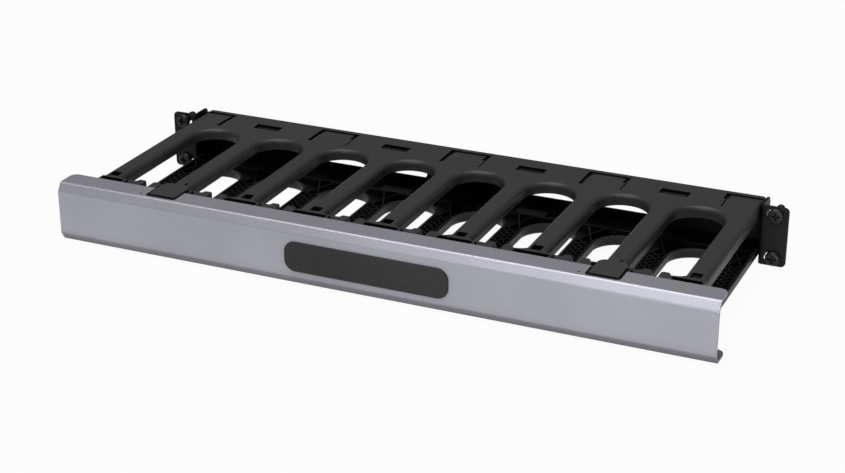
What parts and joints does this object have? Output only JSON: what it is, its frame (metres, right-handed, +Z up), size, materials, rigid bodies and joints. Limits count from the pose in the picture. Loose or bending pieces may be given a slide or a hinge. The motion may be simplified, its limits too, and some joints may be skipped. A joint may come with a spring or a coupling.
{
  "type": "rack cable manager",
  "caption": "Horizontal one-unit rack cable manager: steel channel with ears, two slotted finger combs and a hinged metal cover that swings up.",
  "frame": {"origin": "centre of the rack mounting plane, where the back faces of the ears meet the rack's rails", "axes": "+X to the right seen from the front, along the rack's width; +Y towards the back of the rack; +Z up"},
  "size_m": [0.4826, 0.185, 0.0444],
  "materials": {
    "channel_steel": "fine black powder coat",
    "comb_plastic": "fine moulded grain",
    "cover_paint": "satin silver-grey",
    "badge_plastic": "fine grain with a plain bevel",
    "clip_plastic": "smooth moulded",
    "pin_steel": "plain steel",
    "screw_steel": "black oxide"
  },
  "bodies": {
    "frame": {"rear_channel": "channel_steel", "top_comb": "comb_plastic", "bottom_comb": "comb_plastic", "hinge_clip_upper_left": "clip_plastic", "hinge_clip_upper_right": "clip_plastic", "hinge_clip_lower_left": "clip_plastic", "hinge_clip_lower_right": "clip_plastic", "rack_screw_upper_left": "screw_steel", "rack_screw_upper_right": "screw_steel", "rack_screw_lower_left": "screw_steel", "rack_screw_lower_right": "screw_steel"},
    "cover": {"cover": "cover_paint", "badge_plate": "badge_plastic", "hinge_pin_upper_left": "pin_steel", "hinge_pin_upper_right": "pin_steel", "hinge_pin_lower_left": "pin_steel", "hinge_pin_lower_right": "pin_steel"}
  },
  "joints": [
    {"name": "cover_hinge", "type": "hinge", "parent": "frame", "child": "cover", "pos_m": [0, -0.1514, 0.0172], "axis": [-1, 0, 0], "range_deg": [0, 100]}
  ]
}
